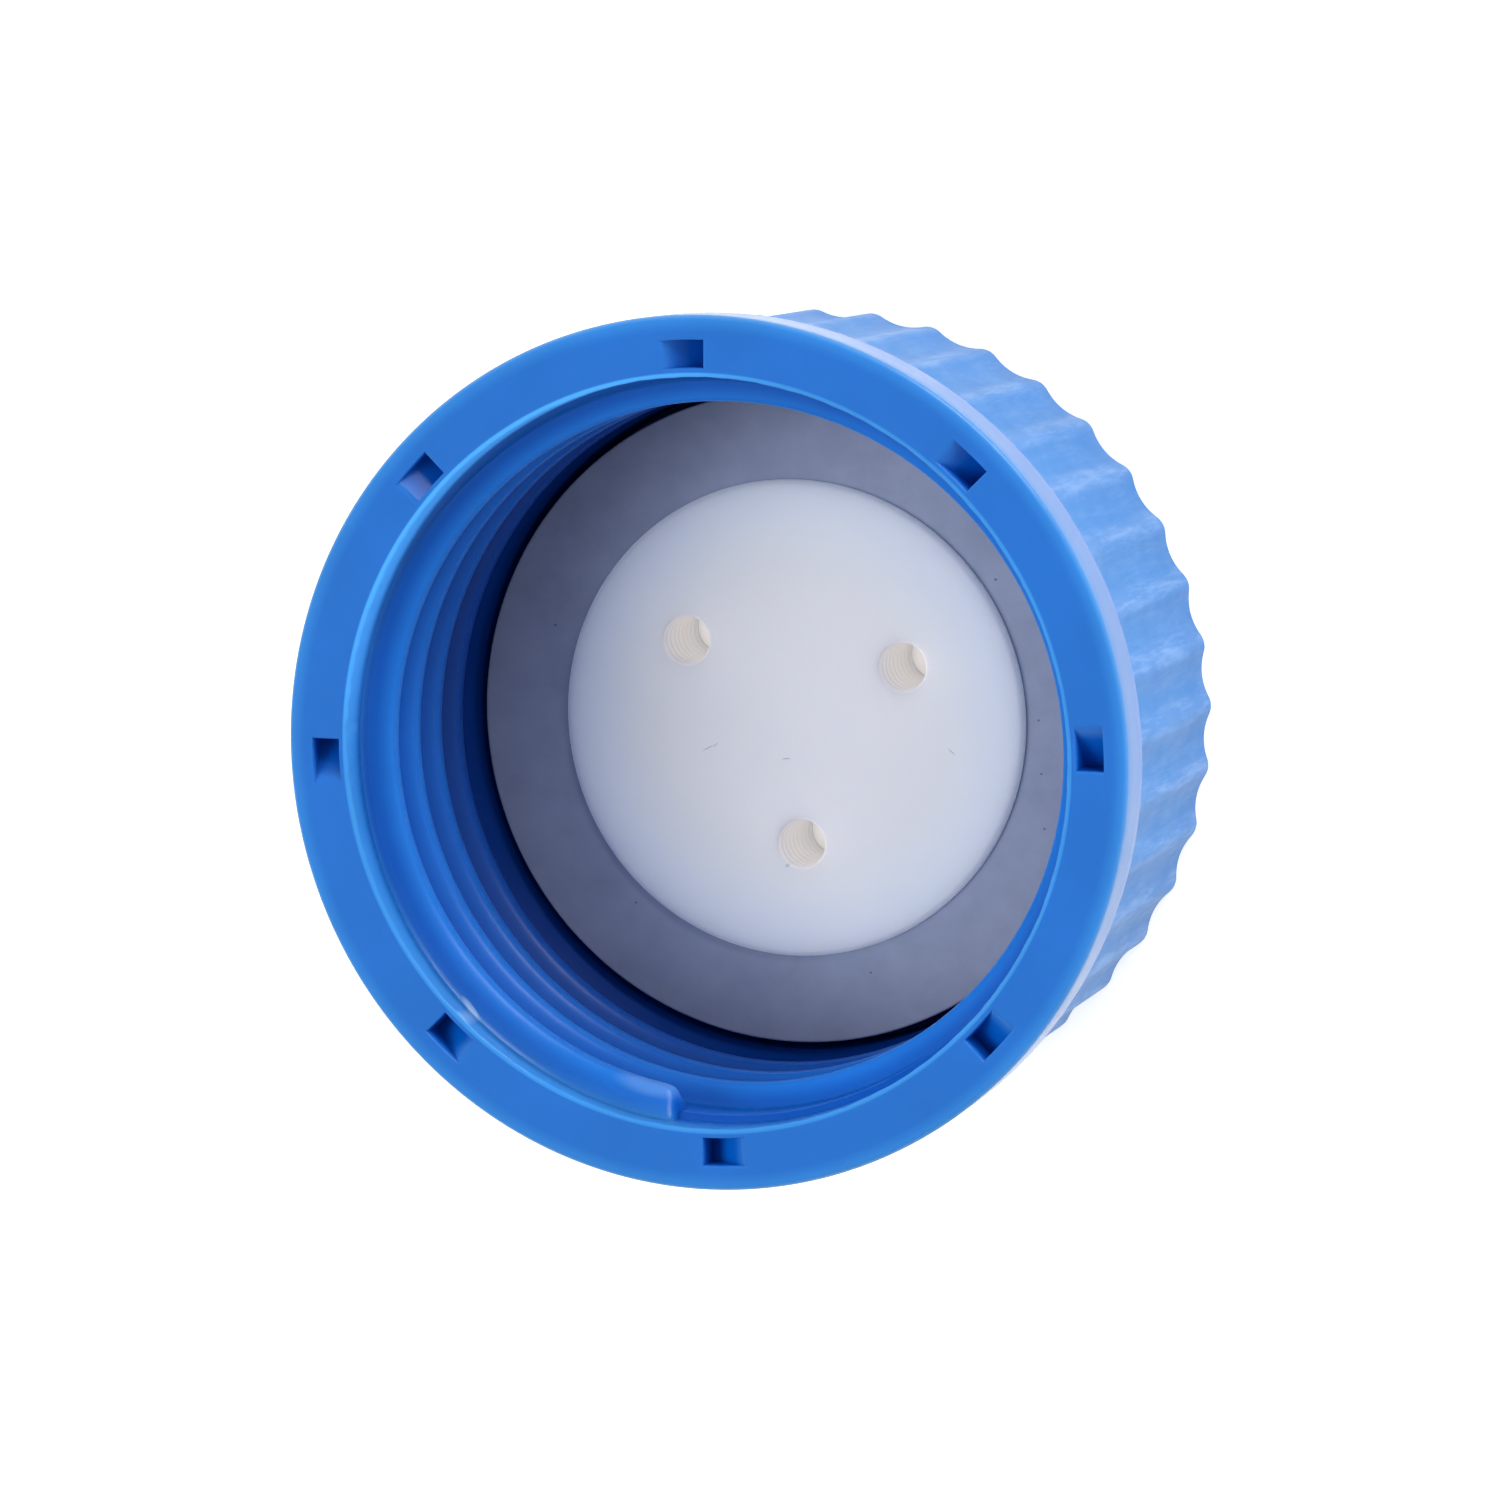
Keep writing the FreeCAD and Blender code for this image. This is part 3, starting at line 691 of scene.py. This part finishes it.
def mark(tree, place, x, y, half_length, half_width, turn=0.0):
    """1 on a small long spot on a face square to the axis; millimetres and degrees."""
    local = node(tree, "ShaderNodeMapping", {
        "Vector": place, "Location": (x * MM, y * MM, 0), "Rotation": (0, 0, math.radians(turn)),
        "Scale": (half_length * MM, half_width * MM, 1)}, vector_type="TEXTURE")
    far = node(tree, "ShaderNodeVectorMath", {0: local.outputs[0]}, operation="LENGTH").outputs["Value"]
    return node(tree, "ShaderNodeMapRange", {"Value": far, "From Min": 1.2, "From Max": 0.6}).outputs[0]


def from_axis(tree, place):
    """How far a point is from the axis of the cap."""
    across = node(tree, "ShaderNodeVectorMath", {0: place, 1: (1.0, 1.0, 0.0)}, operation="MULTIPLY")
    return node(tree, "ShaderNodeVectorMath", {0: across.outputs[0]}, operation="LENGTH").outputs["Value"]


def noise(tree, place, scale, detail, roughness=0.5):
    """A noise over the place; scale says how many waves go to a metre of it."""
    return node(tree, "ShaderNodeTexNoise", {"Vector": place, "Scale": scale, "Detail": detail,
                                             "Roughness": roughness}).outputs["Fac"]


def spread(tree, value, low, high, start=0.0, end=1.0):
    """Stretch low to high over start to end, and hold the ends beyond."""
    return node(tree, "ShaderNodeMapRange", {"Value": value, "From Min": low, "From Max": high,
                                             "To Min": start, "To Max": end}).outputs[0]


def shaded(tree, colour, value, change):
    """The colour made a little darker or lighter by a noise value, by the change at most."""
    shade = spread(tree, value, 0.3, 0.7, 1 - change, 1 + change)
    return node(tree, "ShaderNodeVectorMath", {0: colour, "Scale": shade}, operation="SCALE").outputs[0]


def bumps(tree, relief, strength, depth):
    """A bumpy normal; depth is in millimetres."""
    return node(tree, "ShaderNodeBump", {"Height": relief, "Strength": strength,
                                         "Distance": depth * MM}).outputs[0]


def at_height(start, end):
    """A soft limit on the height, in the material that is being built."""
    return soft_limit(tree, height, start, end)


def at_radius(start, end):
    """A soft limit on the distance from the axis, in the material that is being built."""
    return soft_limit(tree, radius, start, end)


print("place helpers are ready")

# %% [markdown]
# ## Blue polypropylene
# Moulded polypropylene is a little translucent. Light and shade are partly painted into its blues:
# the bore is painted darker the deeper it goes and darker again at the step under the land, as
# painted shade; the thread's crests, the lip, the rim's outer corner and the land are painted
# lighter, as painted light, the last three as if lit through the thin plastic. The outside is paler
# still, with a painted highlight on the flutes and a painted sheen on the band. First we name the
# blues, and then the zones of the ring that they belong to.

# %% Blues
# Painted shade: the bore's blue gets darker towards the bottom.
BORE_SHADE_BLUE = (0.000, 0.044, 0.29, 1)
INNER_BLUE = (0.001, 0.106, 0.51, 1)
# Painted light: the thread's crests are lighter than its roots.
CREST_LIGHT_BLUE = (0.010, 0.180, 0.65, 1)
RIM_BLUE = (0.020, 0.162, 0.575, 1)
# Painted light: the land is lighter, as if lit through the thin wall.
LAND_LIGHT_BLUE = (0.045, 0.275, 0.72, 1)
# Painted shade: the ledge under the land is darker.
STEP_SHADE_BLUE = (0.001, 0.090, 0.46, 1)
WALL_BLUE = (0.016, 0.188, 0.54, 1)
# Pale streaks on the wall, and a painted highlight on one side of each flute.
STREAK_BLUE = (0.24, 0.40, 0.72, 1)
# Painted sheen: the smooth band is paler, as if it mirrored the white floor.
BAND_SHEEN_BLUE = (0.09, 0.225, 0.54, 1)
# Painted light along the rim's outer corner and in broken stretches on the lip.
EDGE_LIGHT_BLUE = (0.05, 0.31, 0.72, 1)
# Painted glints on the thread's squared end and on the bead of flash.
GLINT_BLUE = (0.40, 0.62, 0.90, 1)
print("the blues go from", BORE_SHADE_BLUE[:3], "in the depths to", GLINT_BLUE[:3], "at the flash")

# %% Zones of the ring
blue, tree = new_material("blue_polypropylene_moulded")
place = node(tree, "ShaderNodeTexCoord").outputs["Object"]
height = node(tree, "ShaderNodeSeparateXYZ", {0: place}).outputs[2]
radius = from_axis(tree, place)
up_the_bore = at_height(7.0, 20.0)
inside = times(tree, at_height(24.5, 23.0), at_radius(24.6, 24.0))
# The thread's crests, where painted light goes.
on_ridge = times(tree, at_radius(22.8, 21.6), at_height(6.0, 23.0))
on_rim = at_height(25.3, 25.9)
# The lip and the rim's outer corner, where painted light goes.
on_lip = times(tree, at_radius(23.66, 23.5), at_height(25.7, 25.9))
on_corner = times(tree, at_radius(26.1, 27.1), at_height(25.3, 25.7))
on_land = times(tree, at_radius(23.75, 23.6), at_height(23.3, 25.4))
# The ledge under the land, where painted shade goes.
on_step = times(tree, at_height(22.8, 23.05), at_height(23.9, 23.3),
                at_radius(24.0, 23.7), at_radius(22.94, 23.04))
on_wall = times(tree, at_radius(24.6, 25.1), at_height(22.3, 21.7))
on_band = times(tree, at_radius(26.95, 27.2), at_height(21.7, 22.2))
print("nodes for the zones:", len(tree.nodes))

# %% [markdown]
# Along one side of each flute a painted highlight runs up the wall, where light falls on it. A noise
# that is stretched along the axis breaks it into streaks, and a sine with one wave for each flute
# picks the side. The same streaks run faintly over the whole wall. The trimmed lip gets a painted
# highlight in broken stretches, and the thread's squared end and the bead of flash get a small
# painted glint each.

# %% Painted highlights on the ring
# Strength of the painted highlight on one side of each flute.
FLUTE_HIGHLIGHT = 0.62
axes = node(tree, "ShaderNodeSeparateXYZ", {0: place})
around = math_node(tree, "ARCTAN2", axes.outputs[1], axes.outputs[0])
lit_flank = math_node(tree, "SINE", math_node(tree, "MULTIPLY_ADD", around, FLUTES, 4.1))
lit_flank = spread(tree, lit_flank, 0.0, 1.0)
stretched = node(tree, "ShaderNodeVectorMath", {0: place, 1: (1500.0, 1500.0, 170.0)}, operation="MULTIPLY")
streaks = spread(tree, noise(tree, stretched.outputs[0], 1.0, 6.0, 0.7), 0.45, 0.70)
upright = times(tree, on_wall, at_height(0.1, 0.6))
flute_highlight = times(tree, math_node(tree, "MULTIPLY_ADD", streaks, 0.8, 0.2), lit_flank, upright, FLUTE_HIGHLIGHT)
broken = spread(tree, noise(tree, place, 900.0, 3.0), 0.40, 0.62)
# Painted glints: a pale spot on the thread's squared end and one on the bead of flash.
thread_end_glint = times(tree, mark(tree, place, -6.7, -20.6, 2.2, 0.6, -18), at_height(22.2, 22.7), 0.16)
flash = times(tree, mark(tree, place, -17.8, -14.9, 0.9, 0.16, -56), 0.5)
print("nodes with scuffs and marks:", len(tree.nodes))

# %% [markdown]
# Now the blues go over each other in one list, each where its zone or its mark is. Clouds of noise
# then vary the result by a few hundredths.

# %% Colour of the ring
# Painted shade: the bore is darker the deeper it goes; the list paints light and shade over it.
colour = mix_colour(tree, up_the_bore, BORE_SHADE_BLUE, INNER_BLUE)
colour = paint(tree, colour, [
    (on_ridge, CREST_LIGHT_BLUE), (on_rim, RIM_BLUE), (on_land, LAND_LIGHT_BLUE), (on_step, STEP_SHADE_BLUE),
    (on_wall, WALL_BLUE), (flute_highlight, STREAK_BLUE), (times(tree, streaks, upright, 0.2), STREAK_BLUE),
    (on_band, BAND_SHEEN_BLUE), (times(tree, on_corner, 0.45), EDGE_LIGHT_BLUE),
    (times(tree, on_lip, broken, 0.4), EDGE_LIGHT_BLUE), (thread_end_glint, GLINT_BLUE), (flash, GLINT_BLUE)])
colour = shaded(tree, colour, noise(tree, place, 160.0, 3.0), 0.04)
print("nodes with the colour:", len(tree.nodes))

# %% [markdown]
# The surface has a fine grain and slow waves from the mould, which are weaker on the wall. The bore
# and the wall are rougher than the rim. At the upper left, light from outside also comes through the
# thin wall onto the land, and a faint glow stands for it.

# %% Surface of the ring
LAND_GLOW = (0.038, 0.17, 0.38, 1)
LIT_SIDE = (-0.574, 0.819, 0.0)
grain = noise(tree, place, 5200.0, 3.0)
waves = noise(tree, place, 420.0, 2.0)
calm = math_node(tree, "MULTIPLY_ADD", on_wall, -0.75, 1.0)
relief = math_node(tree, "MULTIPLY_ADD", grain, 0.18, times(tree, waves, calm))
coarse = math_node(tree, "MULTIPLY_ADD", inside, 0.65, on_wall)
rough = math_node(tree, "MULTIPLY_ADD", coarse, 0.2, spread(tree, waves, 0.3, 0.7, 0.20, 0.27))
lit = node(tree, "ShaderNodeVectorMath", {0: place, 1: LIT_SIDE}, operation="DOT_PRODUCT").outputs["Value"]
lit = soft_limit(tree, lit, ENTRY_RADIUS / 2, ENTRY_RADIUS)
through = times(tree, lit, at_radius(23.75, 23.6), at_height(22.9, 24.6))
skin = node(tree, "ShaderNodeBsdfPrincipled", {
    "Base Color": colour, "Roughness": rough, "IOR": 1.34, "Normal": bumps(tree, relief, 0.3, 0.012),
    "Subsurface Weight": 0.28, "Subsurface Radius": (0.25, 0.55, 1.0), "Subsurface Scale": 1.8 * MM,
    "Emission Color": mix_colour(tree, through, BLACK, LAND_GLOW), "Emission Strength": 1.0})
node(tree, "ShaderNodeOutputMaterial", {"Surface": skin.outputs[0]})
ring_mesh.materials.append(blue)
print("blue material has", len(tree.nodes), "nodes")

# %% [markdown]
# ## White fluoropolymer
# The disc's plastic is waxy and scatters light deep inside, so its edges look soft and its shadows
# stay pale. A plain white would look like chalk, so most of the colour comes from below the surface.
# Towards its edge it is painted darker and a little bluer: painted shade, with blue light from the
# wall. Inside the ports the light comes back warm and creamy, with a line of painted shade along
# each groove of the fine thread.

# %% Zones of the disc
white_plastic, tree = new_material("white_fluoropolymer_turned")
place = node(tree, "ShaderNodeTexCoord").outputs["Object"]
height = node(tree, "ShaderNodeSeparateXYZ", {0: place}).outputs[2]
radius = from_axis(tree, place)
turns = math_node(tree, "MULTIPLY", height, 2 * math.pi / (PORT_PITCH * MM))
in_port, in_groove = 0.0, 0.0
for distance, angle in PORTS:
    turn = math.radians(angle)
    centre = (distance * math.cos(turn) * MM, distance * math.sin(turn) * MM, 0.0)
    local = node(tree, "ShaderNodeVectorMath", {0: place, 1: centre}, operation="SUBTRACT").outputs[0]
    in_this = soft_limit(tree, from_axis(tree, local), 1.72, 1.60)
    axes = node(tree, "ShaderNodeSeparateXYZ", {0: local})
    phase = math_node(tree, "SUBTRACT", turns, math_node(tree, "ARCTAN2", axes.outputs[1], axes.outputs[0]))
    line = math_node(tree, "POWER", math_node(tree, "MULTIPLY_ADD", math_node(tree, "COSINE", phase), 0.5), 4.0)
    in_port = math_node(tree, "MAXIMUM", in_this, in_port)
    in_groove = math_node(tree, "MAXIMUM", times(tree, line, in_this), in_groove)
# Painted shade along the grooves of each port's fine thread.
groove_shade = times(tree, in_groove, 0.45)
print("nodes for the zones:", len(tree.nodes))

# %% [markdown]
# Four hair-thin marks and one speck lie on the white face, where the photograph shows them. Each is
# given by its place, its half length and half width, and its turn.

# %% Colour of the disc
CENTRE_WHITE = (0.935, 0.955, 0.998, 1)
# Painted shade: darker and bluer towards the boss's edge, with blue light from the wall.
EDGE_SHADE_WHITE = (0.81, 0.865, 1.0, 1)
PORT_WHITE = (0.97, 0.94, 0.91, 1)
# Painted shade in the grooves of the ports' threads.
GROOVE_SHADE_GREY = (0.62, 0.59, 0.58, 1)
HAIR_GREY = (0.30, 0.32, 0.38, 1)
SPECK_GREY = (0.30, 0.34, 0.42, 1)
HAIRS = ((-5.9, -1.4, 0.42, 0.035, 21), (-5.4, -1.25, 0.22, 0.03, 40), (-0.8, -2.5, 0.30, 0.04, 0),
         (10.2, -2.9, 0.30, 0.035, -47))
SPECK = (-1.5, -9.3, 0.16, 0.12)
# Painted shade towards the edge of the boss.
colour = mix_colour(tree, at_radius(7.0, 15.4), CENTRE_WHITE, EDGE_SHADE_WHITE)
colour = paint(tree, colour, [
    (in_port, PORT_WHITE), (groove_shade, GROOVE_SHADE_GREY),
    *((times(tree, mark(tree, place, *hair), 0.55), HAIR_GREY) for hair in HAIRS),
    (times(tree, mark(tree, place, *SPECK), 0.45), SPECK_GREY)])
colour = shaded(tree, colour, noise(tree, place, 90.0, 3.0), 0.02)
print("hair marks:", len(HAIRS), "nodes with the colour:", len(tree.nodes))

# %% [markdown]
# Light that wanders far inside the plastic would take long to trace, so a faint glow stands for it:
# bluish towards the edge of the boss, and creamy in the ports, the stronger the deeper. The turning
# left fine rings, which are only a slight bump.

# %% Glow and surface of the disc
EDGE_GLOW = (0.20, 0.26, 0.46, 1)
SIDE_GLOW = (0.38, 0.48, 0.64, 1)
DEEP_PORT_GLOW = (0.92, 0.90, 0.91, 1)
PORT_MOUTH_GLOW = (0.52, 0.50, 0.52, 1)
RING_SPACING = 0.22 * MM
raised = at_height(6.5, 6.9)
port_glow = mix_colour(tree, at_height(0.0, 6.5), DEEP_PORT_GLOW, PORT_MOUTH_GLOW)
glow = mix_colour(tree, times(tree, raised, at_radius(9.0, 15.2)), BLACK, EDGE_GLOW)
glow = paint(tree, glow, [
    (times(tree, raised, at_radius(15.0, 15.2)), SIDE_GLOW), (in_port, port_glow), (groove_shade, BLACK)])
fine = noise(tree, place, 3000.0, 3.0)
rings = math_node(tree, "SINE", math_node(tree, "MULTIPLY", radius, 2 * math.pi / RING_SPACING))
relief = math_node(tree, "MULTIPLY_ADD", rings, 0.15, fine)
skin = node(tree, "ShaderNodeBsdfPrincipled", {
    "Base Color": colour, "Roughness": spread(tree, fine, 0.3, 0.7, 0.46, 0.56), "IOR": 1.38,
    "Normal": bumps(tree, relief, 0.2, 0.012), "Subsurface Weight": 0.9,
    "Subsurface Radius": (1.0, 0.95, 0.9), "Subsurface Scale": 3.5 * MM,
    "Emission Color": glow, "Emission Strength": 0.2})
node(tree, "ShaderNodeOutputMaterial", {"Surface": skin.outputs[0]})
disc_mesh.materials.append(white_plastic)
print("white material has", len(tree.nodes), "nodes")

# %% [markdown]
# ## Grey silicone
# The seal is matt and even, with a faint mottling and a few dark specks that it has picked up. It is
# too rough to mirror anything, and only shines a little where it is seen from low down.

# %% Grey material
DARK_GREY = (0.292, 0.337, 0.475, 1)
LIGHT_GREY = (0.350, 0.402, 0.550, 1)
SPECK_BLACK = (0.06, 0.07, 0.10, 1)
SPECKS = ((14.2, 7.7, 0.10, 0.08), (15.6, -8.3, 0.09, 0.07), (16.0, -1.4, 0.08, 0.07), (15.8, -4.8, 0.10, 0.06),
          (-15.4, 7.2, 0.09, 0.07), (-12.1, -11.0, 0.10, 0.06), (3.1, -16.6, 0.08, 0.07))
grey, tree = new_material("grey_silicone_sheet")
place = node(tree, "ShaderNodeTexCoord").outputs["Object"]
mottle = noise(tree, place, 350.0, 5.0, 0.65)
tone = node(tree, "ShaderNodeValToRGB", {"Fac": mottle})
tone.color_ramp.elements[0].position = 0.3
tone.color_ramp.elements[0].color = DARK_GREY
tone.color_ramp.elements[1].position = 0.7
tone.color_ramp.elements[1].color = LIGHT_GREY
specks = [(times(tree, mark(tree, place, *speck), 0.75), SPECK_BLACK) for speck in SPECKS]
colour = paint(tree, tone.outputs[0], specks)
skin = node(tree, "ShaderNodeBsdfPrincipled", {
    "Base Color": colour, "Roughness": spread(tree, mottle, 0.3, 0.7, 0.5, 0.62), "IOR": 1.43,
    "Normal": bumps(tree, noise(tree, place, 4200.0, 4.0), 0.3, 0.02), "Subsurface Weight": 0.1,
    "Subsurface Radius": (0.5, 0.5, 0.6), "Subsurface Scale": 0.5 * MM})
node(tree, "ShaderNodeOutputMaterial", {"Surface": skin.outputs[0]})
seal_mesh.materials.append(grey)
print("grey material has", len(tree.nodes), "nodes")
